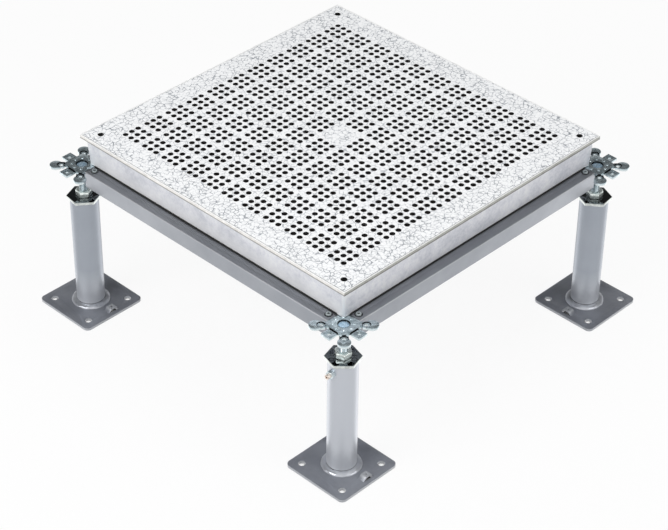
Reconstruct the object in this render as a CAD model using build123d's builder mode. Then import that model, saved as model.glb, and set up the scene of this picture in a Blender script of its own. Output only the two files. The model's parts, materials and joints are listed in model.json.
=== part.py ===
from build123d import *
import math
import os

# One bay of a raised access floor: a perforated panel held by four pedestals and four stringers.
# Origin on the floor under the middle of the panel, X and Y along the panel's edges, Z up.

# Panel, covering and edge trim
panel_side = 600.0
covering_thickness = 2.0
trim_width = 2.5
casting_depth = 55.0
deck_thickness = 4.5
wall_thickness = 4.0
wall_inset_top = 6.0
wall_inset_foot = 9.0
wall_corner_radius = 5.0
foot_length = 14.0
pillar_diameter = 12.4

# Perforation: groups of three by three holes, the middle group left blank
groups_per_side = 11
field_border = 42.82
hole_pitch = 13.5
hole_diameter = 8.5
holes_per_group = 3
rib_thickness = 3.2
rib_lift = 12.0

# Corner screws
corner_hole_inset = 24.1
corner_hole_diameter = 10.6
corner_screw_diameter = 6.0
corner_screw_head_diameter = 10.0
corner_screw_head_height = 6.0
corner_screw_socket = 5.0
corner_screw_socket_depth = 3.0
corner_screw_sink = 2.0
screw_clearance = 0.1

# Stringers and their screws
stringer_width = 25.0
stringer_height = 30.0
stringer_wall = 1.5
stringer_corner_radius = 1.5
stringer_end_gap = 0.5
stringer_screw_place = 32.0
stringer_screw_diameter = 5.0
stringer_screw_head_diameter = 10.0
stringer_screw_head_height = 2.2
stringer_screw_head_taper = 20.0
stringer_screw_socket = 4.0
stringer_screw_socket_depth = 1.4
stringer_screw_tail = 4.0
gasket_thickness = 2.5
gasket_width = 5.0

# Pedestal head
head_thickness = 4.5
head_plate_side = 44.0
head_plate_radius = 2.0
head_bend = 2.0
pad_reach = 40.0
pad_width = 18.0
pad_recess_side = 12.0
pad_recess_depth = 0.6
bend_groove_width = 1.6
bend_groove_depth = 2.2
ear_reach = 53.0
ear_diameter = 21.0
ear_neck_width = 14.0
ear_recess_diameter = 12.8
ear_recess_depth = 1.5
dimple_ring_radius = 16.0
dimple_diameter = 5.0
dimple_height = 0.8
dimple_taper = 40.0
dimple_count = 8

# Threaded rod and levelling nut
rod_diameter = 14.0
rod_length = 128.0
rod_rivet_diameter = 19.0
rod_rivet_seat = 3.0
rod_rivet_rim = 0.5
rod_rivet_crown = 1.5
rod_rivet_crown_diameter = 9.5
rod_end_chamfer = 1.5
head_rise = 61.0
nut_across_flats = 24.0
nut_height = 11.0
nut_face_diameter = 22.8
nut_bevel_angle = 30.0
thread_clearance = 0.05

# Cap on the tube
cap_across_flats = 51.5
cap_thickness = 5.0
cap_edge = 0.5
cap_hole_clearance = 0.5
spigot_length = 30.0
spigot_wall = 3.0
spigot_clearance = 0.05

# Tube and its set screw
tube_diameter = 48.3
tube_wall = 2.5
tube_length = 212.0
set_screw_diameter = 8.0
set_screw_drop = 17.0
set_screw_stand_out = 12.0
set_nut_across_flats = 13.0
set_nut_height = 5.5
set_screw_socket = 4.0
set_screw_socket_depth = 4.0

# Base plate, its weld and its earthing lug
base_side = 125.0
base_thickness = 5.0
base_corner_radius = 9.0
base_hole_spacing = 88.0
base_hole_diameter = 12.0
weld_width = 8.5
weld_height = 4.5
weld_shoulder_width = 6.0
weld_shoulder_height = 3.2
weld_crown_width = 1.7
lug_length = 22.0
lug_width = 12.0
lug_height = 6.0
lug_strip = 2.0
lug_crown_length = 11.0
lug_offset = 4.0
lug_edge_distance = 13.5
lug_hole_diameter = 4.2

# Each pedestal's corner of the bay, and how far its pieces are turned about its axis, in degrees
corners = {
    "front": {"x": -1, "y": -1, "base_turn": 0, "cap_turn": -45, "nut_turn": -5, "screw_turn": 180},
    "left": {"x": -1, "y": 1, "base_turn": 0, "cap_turn": -38, "nut_turn": -38, "screw_turn": 45},
    "right": {"x": 1, "y": -1, "base_turn": -90, "cap_turn": -53, "nut_turn": -53, "screw_turn": 45},
    "rear": {"x": 1, "y": 1, "base_turn": 180, "cap_turn": -45, "nut_turn": -30, "screw_turn": 0},
}

# Each stringer's turn about the middle of the bay, from the edge between front and right corners
stringer_turns = {
    "front_right_stringer": 0,
    "rear_right_stringer": 90,
    "rear_left_stringer": 180,
    "front_left_stringer": -90,
}

# Heights, from the floor up
tube_foot = base_thickness
tube_top = tube_foot + tube_length
cap_top = tube_top + cap_thickness
head_top = cap_top + head_rise
pad_top = head_top - stringer_wall
pad_underside = pad_top - head_thickness
foot_plane = head_top + dimple_height
pillar_foot = pad_top - ear_recess_depth
deck_top = head_top + casting_depth
deck_underside = deck_top - deck_thickness
rib_foot = foot_plane + rib_lift

# Places in plan
half_side = panel_side / 2
group_pitch = (panel_side - 2 * field_border) / groups_per_side
flange_side = panel_side - 2 * trim_width
corner_hole_place = half_side - corner_hole_inset
group_opening = (holes_per_group - 1) * hole_pitch + hole_diameter
cell_side = group_pitch - rib_thickness
grid_half = groups_per_side * group_pitch / 2 + rib_thickness / 2
wall_side_top = panel_side - 2 * wall_inset_top
wall_side_foot = panel_side - 2 * wall_inset_foot
inner_side = wall_side_foot - 2 * wall_thickness
wall_span = wall_side_foot - 2 * foot_length
wall_band = half_side - inner_side / 2
ear_hole_place = corner_hole_inset
tube_bore = tube_diameter - 2 * tube_wall
set_screw_height = tube_top - set_screw_drop

os.makedirs("parts", exist_ok=True)


def keep(piece, name):
    """Name a finished piece and write it out."""
    piece.label = name
    export_step(piece, f"parts/{name}.step")


def keep_at_corner(piece, corner, name, turn=0):
    """Stand a copy of a pedestal's piece at its corner, turned about the pedestal's axis."""
    place = corners[corner]
    keep(Pos(place["x"] * half_side, place["y"] * half_side) * Rot(0, 0, turn) * piece, f"{corner}_{name}")


# Panel casting: a ribbed aluminium tray, open below, with a perforated deck
with BuildPart() as panel_casting:
    # Side walls, drawn in towards the feet
    with BuildSketch(Plane.XY.offset(foot_plane)):
        RectangleRounded(wall_side_foot, wall_side_foot, wall_corner_radius)
    with BuildSketch(Plane.XY.offset(deck_underside)):
        RectangleRounded(wall_side_top, wall_side_top, wall_corner_radius)
    loft()
    # Deck, reaching out over the walls as a flange
    with BuildSketch(Plane.XY.offset(deck_underside)):
        Rectangle(flange_side, flange_side)
    extrude(amount=deck_thickness)
    # Walls lifted from the stringers by their gaskets, between the corner feet
    with BuildSketch(Plane.XY.offset(foot_plane)):
        with GridLocations(0, inner_side + wall_band, 1, 2):
            Rectangle(wall_span, wall_band)
        with GridLocations(inner_side + wall_band, 0, 2, 1):
            Rectangle(wall_band, wall_span)
    extrude(amount=gasket_thickness - dimple_height, mode=Mode.SUBTRACT)
    # Ribs lifted from the plane of the feet, with the corner blocks left whole
    with BuildSketch(Plane.XY.offset(foot_plane)):
        Rectangle(inner_side, 2 * grid_half)
        Rectangle(2 * grid_half, inner_side)
    extrude(amount=rib_lift, mode=Mode.SUBTRACT)
    # Pockets between the ribs, one under each group of holes
    with BuildSketch(Plane.XY.offset(rib_foot)):
        with GridLocations(group_pitch, group_pitch, groups_per_side, groups_per_side):
            Rectangle(cell_side, cell_side)
    extrude(amount=deck_underside - rib_foot, mode=Mode.SUBTRACT)
    # Pockets between the outer ribs and the walls
    edge_cell_width = inner_side / 2 - grid_half
    edge_cell_span = inner_side - edge_cell_width
    with BuildSketch(Plane.XY.offset(rib_foot)):
        with GridLocations(edge_cell_span, group_pitch, 2, groups_per_side):
            Rectangle(edge_cell_width, cell_side)
        with GridLocations(group_pitch, edge_cell_span, groups_per_side, 2):
            Rectangle(cell_side, edge_cell_width)
    extrude(amount=deck_underside - rib_foot, mode=Mode.SUBTRACT)
    # Openings through the deck, one for each group of holes
    with BuildSketch(Plane.XY.offset(deck_underside)):
        with GridLocations(group_pitch, group_pitch, groups_per_side, groups_per_side):
            Rectangle(group_opening, group_opening)
        Rectangle(cell_side, cell_side, mode=Mode.SUBTRACT)
    extrude(amount=deck_thickness, mode=Mode.SUBTRACT)
    # Pillars under the corner blocks, standing in the recesses of the pedestal heads
    with BuildSketch(Plane.XY.offset(pillar_foot)):
        with GridLocations(2 * corner_hole_place, 2 * corner_hole_place, 2, 2):
            Circle(pillar_diameter / 2)
    extrude(amount=foot_plane - pillar_foot)
    # Counterbored corner holes down through the corner blocks
    with Locations((0, 0, deck_top)):
        with GridLocations(2 * corner_hole_place, 2 * corner_hole_place, 2, 2):
            CounterBoreHole(
                radius=corner_screw_diameter / 2 + screw_clearance,
                counter_bore_radius=corner_hole_diameter / 2,
                counter_bore_depth=corner_screw_sink + corner_screw_head_height,
                depth=deck_top - pillar_foot,
            )
keep(panel_casting.part, "panel_casting")

# Covering: a thin laminate sheet with the same openings
with BuildPart() as panel_covering:
    with BuildSketch(Plane.XY.offset(deck_top)):
        Rectangle(flange_side, flange_side)
        with GridLocations(group_pitch, group_pitch, groups_per_side, groups_per_side):
            Rectangle(group_opening, group_opening, mode=Mode.SUBTRACT)
        Rectangle(group_opening, group_opening)
        with GridLocations(2 * corner_hole_place, 2 * corner_hole_place, 2, 2):
            Circle(corner_hole_diameter / 2, mode=Mode.SUBTRACT)
    extrude(amount=covering_thickness)
keep(panel_covering.part, "panel_covering")

# Edge trim: a strip round the covering and the flange
with BuildPart() as edge_trim:
    with BuildSketch(Plane.XY.offset(deck_underside)):
        Rectangle(panel_side, panel_side)
        Rectangle(flange_side, flange_side, mode=Mode.SUBTRACT)
    extrude(amount=deck_thickness + covering_thickness)
keep(edge_trim.part, "edge_trim")

# Corner screws, sunk in the covering and threaded into the pedestal heads
with BuildPart() as corner_screws:
    screw_seat = deck_top - corner_screw_sink - corner_screw_head_height
    screw_tip = pad_underside
    with GridLocations(2 * corner_hole_place, 2 * corner_hole_place, 2, 2):
        with Locations((0, 0, screw_tip)):
            Cylinder(
                corner_screw_diameter / 2,
                screw_seat - screw_tip,
                align=(Align.CENTER, Align.CENTER, Align.MIN),
            )
        with Locations((0, 0, screw_seat)):
            Cylinder(
                corner_screw_head_diameter / 2,
                corner_screw_head_height,
                align=(Align.CENTER, Align.CENTER, Align.MIN),
            )
    with BuildSketch(Plane.XY.offset(screw_seat + corner_screw_head_height)):
        with GridLocations(2 * corner_hole_place, 2 * corner_hole_place, 2, 2):
            RegularPolygon(corner_screw_socket / 2, 6, major_radius=False)
    extrude(amount=-corner_screw_socket_depth, mode=Mode.SUBTRACT)
keep(corner_screws.part, "corner_screws")

# Stringer: a rectangular tube between two pedestals, screwed down on a pad at each end
with BuildPart() as stringer:
    stringer_start = -half_side + head_plate_side / 2 + stringer_end_gap
    stringer_middle = head_top - stringer_height / 2
    with BuildSketch(Plane.YZ.offset(stringer_start)):
        with Locations((-half_side, stringer_middle)):
            RectangleRounded(stringer_width, stringer_height, stringer_corner_radius)
            Rectangle(
                stringer_width - 2 * stringer_wall,
                stringer_height - 2 * stringer_wall,
                mode=Mode.SUBTRACT,
            )
    extrude(amount=-2 * stringer_start)
    with BuildSketch(Plane.XY.offset(head_top)):
        with Locations((0, -half_side)):
            with GridLocations(2 * (half_side - stringer_screw_place), 0, 2, 1):
                Circle(stringer_screw_diameter / 2 + screw_clearance)
    extrude(amount=-stringer_wall, mode=Mode.SUBTRACT)
for name, turn in stringer_turns.items():
    keep(Rot(0, 0, turn) * stringer.part, name)

# Gaskets: a strip on each stringer under the panel's wall
with BuildPart() as stringer_gaskets:
    gasket_place = half_side - stringer_width / 2 + gasket_width / 2
    with BuildSketch(Plane.XY.offset(head_top)):
        with GridLocations(0, 2 * gasket_place, 1, 2):
            Rectangle(wall_span, gasket_width)
        with GridLocations(2 * gasket_place, 0, 2, 1):
            Rectangle(gasket_width, wall_span)
    extrude(amount=gasket_thickness)
keep(stringer_gaskets.part, "stringer_gaskets")

# Stringer screws, two at each pedestal, through the stringer into the pad
screw_line = half_side - stringer_screw_place
screw_places = [(sx * screw_line, sy * half_side) for sx in (-1, 1) for sy in (-1, 1)]
screw_places += [(sx * half_side, sy * screw_line) for sx in (-1, 1) for sy in (-1, 1)]
with BuildPart() as stringer_screws:
    shank_length = stringer_wall + head_thickness + stringer_screw_tail
    with BuildSketch(Plane.XY.offset(head_top)):
        with Locations(*screw_places):
            Circle(stringer_screw_diameter / 2)
    extrude(amount=-shank_length)
    with BuildSketch(Plane.XY.offset(head_top)):
        with Locations(*screw_places):
            Circle(stringer_screw_head_diameter / 2)
    extrude(amount=stringer_screw_head_height, taper=stringer_screw_head_taper)
    with BuildSketch(Plane.XY.offset(head_top + stringer_screw_head_height)):
        with Locations(*screw_places):
            RegularPolygon(stringer_screw_socket / 2, 6, major_radius=False)
    extrude(amount=-stringer_screw_socket_depth, mode=Mode.SUBTRACT)
keep(stringer_screws.part, "stringer_screws")

# Pedestal head: a stamped plate with four pads for stringers and four ears for panel corners
with BuildPart() as head:
    with BuildSketch(Plane.XY.offset(head_top - head_thickness)):
        RectangleRounded(head_plate_side, head_plate_side, head_plate_radius)
    extrude(amount=head_thickness)
    # Pads and ears, pressed down by the thickness of a stringer's wall
    pad_root = head_plate_side / 2 - head_bend
    ear_middle = ear_reach - ear_diameter / 2
    ear_root = pad_root * math.sqrt(2)
    with BuildSketch(Plane.XY.offset(pad_underside)):
        with PolarLocations((pad_root + pad_reach) / 2, 4):
            Rectangle(pad_reach - pad_root, pad_width)
        with PolarLocations(ear_middle, 4, start_angle=45):
            Circle(ear_diameter / 2)
        with PolarLocations((ear_root + ear_middle) / 2, 4, start_angle=45):
            Rectangle(ear_middle - ear_root, ear_neck_width)
    extrude(amount=head_thickness)
    # Recesses in the ears for the panels' pillars, cutting the plate's corners, and square ones in the pads
    with BuildSketch(Plane.XY.offset(pillar_foot)):
        with GridLocations(2 * ear_hole_place, 2 * ear_hole_place, 2, 2):
            Circle(ear_recess_diameter / 2)
    extrude(amount=head_top - pillar_foot, mode=Mode.SUBTRACT)
    with BuildSketch(Plane.XY.offset(pad_top)):
        with PolarLocations(stringer_screw_place, 4):
            Rectangle(pad_recess_side, pad_recess_side)
    extrude(amount=-pad_recess_depth, mode=Mode.SUBTRACT)
    # Grooves along the bends at the roots of the pads
    groove_place = (head_plate_side + bend_groove_width) / 2
    with BuildSketch(Plane.XY.offset(pad_top)):
        with PolarLocations(groove_place, 4):
            Rectangle(bend_groove_width, pad_width)
    extrude(amount=-bend_groove_depth, mode=Mode.SUBTRACT)
    # Holes for the corner screws and the stringer screws
    with BuildSketch(Plane.XY.offset(pad_underside)):
        with GridLocations(2 * ear_hole_place, 2 * ear_hole_place, 2, 2):
            Circle(corner_screw_diameter / 2 + screw_clearance)
        with PolarLocations(stringer_screw_place, 4):
            Circle(stringer_screw_diameter / 2 + screw_clearance)
    extrude(amount=head_top - pad_underside, mode=Mode.SUBTRACT)
    # Seat for the rod's riveted end
    with Locations((0, 0, head_top)):
        CounterBoreHole(
            radius=rod_diameter / 2,
            counter_bore_radius=rod_rivet_diameter / 2,
            counter_bore_depth=rod_rivet_seat,
            depth=head_thickness,
        )
    # Ring of dimples, on which the feet of the panels rest
    with BuildSketch(Plane.XY.offset(head_top)):
        with PolarLocations(dimple_ring_radius, dimple_count):
            Circle(dimple_diameter / 2)
    extrude(amount=dimple_height, taper=dimple_taper)

# Rod: a threaded stud, riveted over in the head
with BuildPart() as rod:
    with BuildSketch(Plane.XZ):
        with BuildLine():
            Polyline(
                (0, head_top - rod_length),
                (rod_diameter / 2 - rod_end_chamfer, head_top - rod_length),
                (rod_diameter / 2, head_top - rod_length + rod_end_chamfer),
                (rod_diameter / 2, head_top - rod_rivet_seat),
                (rod_rivet_diameter / 2, head_top - rod_rivet_seat),
                (rod_rivet_diameter / 2, head_top - rod_rivet_seat + rod_rivet_rim),
                (rod_rivet_crown_diameter / 2, head_top - rod_rivet_seat + rod_rivet_crown),
                (0, head_top - rod_rivet_seat + rod_rivet_crown),
                close=True,
            )
        make_face()
    revolve(axis=Axis.Z)

# Levelling nut, resting on the cap and carrying the rod
with BuildPart() as level_nut:
    nut_corner = nut_across_flats / math.sqrt(3)
    nut_face = nut_face_diameter / 2
    nut_bevel = (nut_corner - nut_face) * math.tan(math.radians(nut_bevel_angle))
    nut_top = cap_top + nut_height
    with BuildSketch(Plane.XY.offset(cap_top)):
        RegularPolygon(nut_across_flats / 2, 6, major_radius=False)
    extrude(amount=nut_height)
    with BuildSketch(Plane.XZ):
        with BuildLine():
            Polyline(
                (0, cap_top),
                (nut_face, cap_top),
                (nut_corner, cap_top + nut_bevel),
                (nut_corner, nut_top - nut_bevel),
                (nut_face, nut_top),
                (0, nut_top),
                close=True,
            )
        make_face()
    revolve(axis=Axis.Z, mode=Mode.INTERSECT)
    with Locations((0, 0, nut_top)):
        Hole(rod_diameter / 2 + thread_clearance, depth=nut_height)

# Cap: a hexagonal plate with a spigot that plugs the tube
with BuildPart() as cap:
    with BuildSketch(Plane.XY.offset(tube_top)):
        RegularPolygon(cap_across_flats / 2, 6, major_radius=False)
    extrude(amount=cap_thickness)
    chamfer(cap.faces().sort_by(Axis.Z)[-1].edges(), length=cap_edge)
    with BuildSketch(Plane.XY.offset(tube_top)):
        Circle(tube_bore / 2 - spigot_clearance)
        Circle(tube_bore / 2 - spigot_clearance - spigot_wall, mode=Mode.SUBTRACT)
    extrude(amount=-spigot_length)
    with Locations((0, 0, cap_top)):
        Hole(rod_diameter / 2 + cap_hole_clearance, depth=cap_thickness)

# Tube, with a side hole for the set screw
with BuildPart() as tube:
    with BuildSketch(Plane.XY.offset(tube_foot)):
        Circle(tube_diameter / 2)
        Circle(tube_bore / 2, mode=Mode.SUBTRACT)
    extrude(amount=tube_length)
    with BuildSketch(Plane.YZ):
        with Locations((0, set_screw_height)):
            Circle(set_screw_diameter / 2 + screw_clearance)
    extrude(amount=tube_diameter, mode=Mode.SUBTRACT)

# Set screw, holding the cap's spigot in the tube
with BuildPart() as set_screw:
    set_screw_end = tube_diameter / 2 + set_screw_stand_out
    with BuildSketch(Plane.YZ.offset(tube_bore / 2)):
        with Locations((0, set_screw_height)):
            Circle(set_screw_diameter / 2)
    extrude(amount=set_screw_end - tube_bore / 2)
    with BuildSketch(Plane.YZ.offset(set_screw_end)):
        with Locations((0, set_screw_height)):
            RegularPolygon(set_screw_socket / 2, 6, major_radius=False)
    extrude(amount=-set_screw_socket_depth, mode=Mode.SUBTRACT)

# Nut welded on the tube for the set screw
with BuildPart() as set_nut:
    with BuildSketch(Plane.YZ.offset(tube_bore / 2)):
        with Locations((0, set_screw_height)):
            RegularPolygon(set_nut_across_flats / 2, 6, major_radius=False)
            Circle(set_screw_diameter / 2 + screw_clearance, mode=Mode.SUBTRACT)
    extrude(amount=tube_wall + set_nut_height)
    with BuildSketch(Plane.XY.offset(tube_foot)):
        Circle(tube_diameter / 2)
    extrude(amount=tube_length, mode=Mode.SUBTRACT)

# Base plate, with the weld round the tube and a lanced earthing lug
with BuildPart() as base_plate:
    with BuildSketch():
        RectangleRounded(base_side, base_side, base_corner_radius)
        with GridLocations(base_hole_spacing, base_hole_spacing, 2, 2):
            Circle(base_hole_diameter / 2, mode=Mode.SUBTRACT)
    extrude(amount=base_thickness)
    # Weld bead
    with BuildSketch(Plane.XZ):
        with BuildLine():
            Polyline(
                (tube_diameter / 2, tube_foot),
                (tube_diameter / 2 + weld_width, tube_foot),
                (tube_diameter / 2 + weld_shoulder_width, tube_foot + weld_shoulder_height),
                (tube_diameter / 2 + weld_crown_width, tube_foot + weld_height),
                (tube_diameter / 2, tube_foot + weld_height),
                close=True,
            )
        make_face()
    revolve(axis=Axis.Z)
    # Lug: a strip lanced from the plate and bridged over its slot
    lug_y = lug_edge_distance - base_side / 2
    lug_slot_length = lug_length - 2 * lug_strip
    with BuildSketch(Plane.XY):
        with Locations((lug_offset, lug_y)):
            Rectangle(lug_slot_length, lug_width)
    extrude(amount=base_thickness, mode=Mode.SUBTRACT)
    lug_plane = Plane(origin=(lug_offset, lug_y, base_thickness), x_dir=(1, 0, 0), z_dir=(0, -1, 0))
    with BuildSketch(lug_plane):
        with BuildLine():
            Polyline(
                (-lug_length / 2, 0),
                (-lug_crown_length / 2, lug_height),
                (lug_crown_length / 2, lug_height),
                (lug_length / 2, 0),
                (lug_slot_length / 2, 0),
                (lug_crown_length / 2 - lug_strip / 2, lug_height - lug_strip),
                (lug_strip / 2 - lug_crown_length / 2, lug_height - lug_strip),
                (-lug_slot_length / 2, 0),
                close=True,
            )
        make_face()
    extrude(amount=lug_width / 2, both=True)
    with BuildSketch(Plane.XY.offset(base_thickness + lug_height)):
        with Locations((lug_offset, lug_y)):
            Circle(lug_hole_diameter / 2)
    extrude(amount=-lug_strip, mode=Mode.SUBTRACT)

# The four pedestals, each with its pieces turned as it stands
for corner, turns in corners.items():
    keep_at_corner(head.part, corner, "head")
    keep_at_corner(rod.part, corner, "rod")
    keep_at_corner(level_nut.part, corner, "level_nut", turns["nut_turn"])
    keep_at_corner(cap.part, corner, "cap", turns["cap_turn"])
    keep_at_corner(tube.part, corner, "tube", turns["screw_turn"])
    keep_at_corner(set_screw.part, corner, "set_screw", turns["screw_turn"])
    keep_at_corner(set_nut.part, corner, "set_nut", turns["screw_turn"])
    keep_at_corner(base_plate.part, corner, "base_plate", turns["base_turn"])
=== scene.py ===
"""Looks of one raised access floor bay, built round its CAD frame."""
import json
import math

import bmesh
import bpy
from mathutils import Matrix, Vector


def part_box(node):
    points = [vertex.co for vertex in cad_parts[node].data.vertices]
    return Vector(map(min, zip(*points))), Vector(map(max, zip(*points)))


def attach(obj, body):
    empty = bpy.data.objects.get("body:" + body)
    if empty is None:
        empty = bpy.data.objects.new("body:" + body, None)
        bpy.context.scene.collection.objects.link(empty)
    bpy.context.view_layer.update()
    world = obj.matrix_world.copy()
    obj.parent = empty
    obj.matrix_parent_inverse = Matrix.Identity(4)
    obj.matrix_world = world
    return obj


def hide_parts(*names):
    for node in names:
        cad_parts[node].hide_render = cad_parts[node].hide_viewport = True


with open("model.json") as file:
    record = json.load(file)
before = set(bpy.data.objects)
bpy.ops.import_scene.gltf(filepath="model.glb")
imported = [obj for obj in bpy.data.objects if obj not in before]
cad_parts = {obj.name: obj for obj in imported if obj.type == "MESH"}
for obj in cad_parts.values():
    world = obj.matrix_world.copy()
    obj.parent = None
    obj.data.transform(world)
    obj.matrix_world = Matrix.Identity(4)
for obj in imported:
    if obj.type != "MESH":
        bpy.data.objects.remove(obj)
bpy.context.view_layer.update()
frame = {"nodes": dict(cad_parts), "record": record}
nodes = frame["nodes"]
scene = bpy.context.scene
scene.view_settings.view_transform = "Standard"

CORNERS = ("front", "left", "right", "rear")
STRINGERS = ("front_right", "rear_right", "rear_left", "front_left")
MM = 0.001

# Perforation and border of the panel: lengths in metres, and counts
GROUPS_PER_SIDE = 11
GROUP_PITCH = 46.76 * MM
GROUP_OPENING = 35.5 * MM
FIELD_HALF = 0.5 * GROUPS_PER_SIDE * GROUP_PITCH
HOLE_PITCH = 13.5 * MM
HOLE_RADIUS = 4.75 * MM
DECK_HOLE_RADIUS = 4.25 * MM
HOLE_SIDES = 18
CORNER_HOLE_INSET = 24.1 * MM
CORNER_HOLE_RADIUS = 5.3 * MM
WALL_CORNER = 287.0 * MM
COVERING_GAP = 0.3 * MM
TRIM_WIDTH = 2.5 * MM
DECK_THICKNESS = 4.5 * MM
WALL_BAND = 20.0 * MM

# Understructure: lengths in metres, counts of sides and points, and angles of the rivets' domes in degrees
CORNER_PLACE = 300.0 * MM
PAD_TOP = 282.0 * MM
PAD_SIDE = 279.8 * MM
GROOVE_PLACE = 22.8 * MM
GROOVE_SPAN = 9.0 * MM
EAR_RECESS_RADIUS = 6.4 * MM
THREAD_SIDES = 24
THREAD_RADIUS = 7.0 * MM
THREAD_DEPTH = 1.2 * MM
THREAD_PITCH = 2.0 * MM
RIVET_RECESS_RADIUS = 9.5 * MM
RIVET_SEAT = 3.0 * MM
RIVET_RADIUS = 9.4 * MM
RIVET_RIM = 0.5 * MM
RIVET_DRILL = 1.6 * MM
RIVET_SIDES = 64
DOME_ANGLES = (84, 70, 56, 42, 30, 20)
SCREW_PLACE = 32.0 * MM
SCREW_RADIUS = 5.0 * MM
SOCKET_RADIUS = 2.3 * MM
STRINGER_HALF = 12.5 * MM
# Width of the painted shade lines at the screws, weld, bends and ear recesses
SHADE_LINE_WIDTH = 1.6 * MM
PLATE_TOP = 5.0 * MM
BEAD_RADIUS = 24.15 * MM
BEAD_WIDTH = 8.9 * MM
BEAD_HEIGHT = 4.9 * MM
BEAD_LUMP = 2.4 * MM
BEAD_TOP = 10.0 * MM
BEAD_POINTS = 120
BEAD_ARC_POINTS = 9

# Roundings of edges, in metres
TRIM_ROUNDING = 0.4 * MM
TRAY_ROUNDING = 0.7 * MM
STRINGER_ROUNDING = 0.25 * MM
SCREW_ROUNDING = 0.3 * MM
HEAD_ROUNDING = 0.3 * MM
NUT_ROUNDING = 0.35 * MM
CAP_ROUNDING = 0.35 * MM
PLATE_ROUNDING = 0.7 * MM

# Angles in degrees: within the first, faces are one; past the others, edges are rounded or stay sharp
FLAT_ANGLE = 0.5
ROUNDED_ANGLE = 28
SHARP_ANGLE = 32
BEAD_SHARP_ANGLE = 60
THREAD_SHARP_ANGLE = 70

# Points closer than this are one, in grown meshes and in copies of CAD pieces, in metres
MERGE_GAP = 0.005 * MM
DOUBLE_GAP = 0.002 * MM

# Photograph's view of the bay: metres, angles in radians, lens and sensor in millimetres
TARGET = Vector((-0.2609, -0.2404, 0.340))
AZIMUTH = math.radians(-46.06)
ELEVATION = math.radians(36.65)
DISTANCE = 3.301
ROLL = 0.01287
LENS = 118.56
SENSOR_WIDTH = 36.0
FAR_CLIP = 50.0

# Lamps: name, azimuth and elevation in degrees, distance and side in metres, power in watts
LAMPS = (
    ("key_lamp", -95, 42, 3.2, 1.6, 40),
    ("fill_lamp", 15, 38, 3.2, 1.6, 20),
    ("top_lamp", 27, 82, 3.0, 2.2, 15),
)

# Studio: (place, level) that metal sees from the horizon up, and round from behind the bay to its front
SKY_LEVELS = ((0.0, 0.9), (0.2, 0.6), (0.42, 0.06), (1.0, 0.04))
FLOOR_LEVELS = ((0.0, 0.3), (0.1, 0.35), (0.2, 0.78), (0.32, 0.78), (0.42, 0.52), (0.62, 0.5), (0.9, 0.52))
FLOOR_SHINE = 2.2
FRONT_LEVEL = 0.95
FRONT_SPAN = (0.62, 0.8)
SOFT_LEVEL = 0.5

# Studio floor: lengths in metres, and levels and shares of white
FLOOR_REACH = 12.0
FLOOR_LEVEL = 0.86
FLOOR_GLOW = 0.9
GLOW_SPAN = (1.0, 4.0)
# Painted shade on the floor in narrow gaps: ambient occlusion depth, its fading span and its dark level
CREVICE_DEPTH = 20.0 * MM
CREVICE_SPAN = (0.35, 0.44)
CREVICE_LEVEL = 0.03


# Shader and geometry trees


def put(tree, kind, inputs=None, **options):
    """Add a node, set its options, and fill or link its inputs."""
    node = tree.nodes.new(kind)
    for option, value in options.items():
        setattr(node, option, value)
    for socket, value in (inputs or {}).items():
        for item in value if isinstance(value, list) else [value]:
            if isinstance(item, bpy.types.NodeSocket):
                tree.links.new(item, node.inputs[socket])
            else:
                node.inputs[socket].default_value = item
    return node


def calc(tree, operation, first, second=0.0):
    """A sum, product or other step between two numbers."""
    return put(tree, "ShaderNodeMath", {0: first, 1: second}, operation=operation).outputs[0]


def ramp(tree, factor, stops):
    """Colours along a factor, as (place, colour) stops."""
    node = put(tree, "ShaderNodeValToRGB", {"Fac": factor})
    elements = node.color_ramp.elements
    while len(elements) < len(stops):
        elements.new(0.5)
    for element, (place, colour) in zip(elements, stops):
        element.position = place
        element.color = (*colour, 1.0)
    return node.outputs["Color"]


def grey(level):
    """A colour without hue."""
    return (level, level, level)


def grey_ramp(tree, factor, levels):
    """Greys along a factor, as (place, level) stops."""
    return ramp(tree, factor, [(place, grey(level)) for place, level in levels])


def new_finish(name, colour, roughness, metallic=0.0):
    """A material with one shader, its object coordinates and nothing else yet."""
    material = bpy.data.materials.new(name)
    material.use_nodes = True
    tree = material.node_tree
    shader = tree.nodes["Principled BSDF"]
    shader.inputs["Base Color"].default_value = (*colour, 1.0)
    shader.inputs["Roughness"].default_value = roughness
    shader.inputs["Metallic"].default_value = metallic
    place = put(tree, "ShaderNodeTexCoord").outputs["Object"]
    return material, tree, shader, place


def reopened(material):
    """A finish's tree and shader, the colour that reaches the shader, and object coordinates."""
    tree = material.node_tree
    shader = tree.nodes["Principled BSDF"]
    colour = shader.inputs["Base Color"].links[0].from_socket
    return tree, shader, colour, put(tree, "ShaderNodeTexCoord").outputs["Object"]


def link(tree, source, shader, socket):
    """Feed one input of a shader."""
    tree.links.new(source, shader.inputs[socket])


def along_axes(tree, place):
    """The three coordinates of a place."""
    return put(tree, "ShaderNodeSeparateXYZ", {0: place}).outputs


def rise(tree, value, low, high):
    """0 up to the low value, 1 from the high one, and even between them."""
    return put(tree, "ShaderNodeMapRange", {"Value": value, "From Min": low, "From Max": high}).outputs[0]


def line_at(tree, distance, place, width):
    """1 on a line at this distance, fading out at a width on both sides of it."""
    off = calc(tree, "ABSOLUTE", calc(tree, "SUBTRACT", distance, place))
    return rise(tree, off, width, width / 2)


def darkened(tree, colour, share):
    """A colour made darker by a share."""
    left = calc(tree, "SUBTRACT", 1.0, share)
    return put(tree, "ShaderNodeVectorMath", {0: colour, "Scale": left}, operation="SCALE").outputs[0]


def blended(tree, share, first, second):
    """The first colour turning into the second with the share; 6, 7 and 2 are the node's colour sockets."""
    if isinstance(second, tuple):
        second = (*second, 1.0)
    return put(tree, "ShaderNodeMix", {0: share, 6: first, 7: second}, data_type="RGBA").outputs[2]


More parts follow.
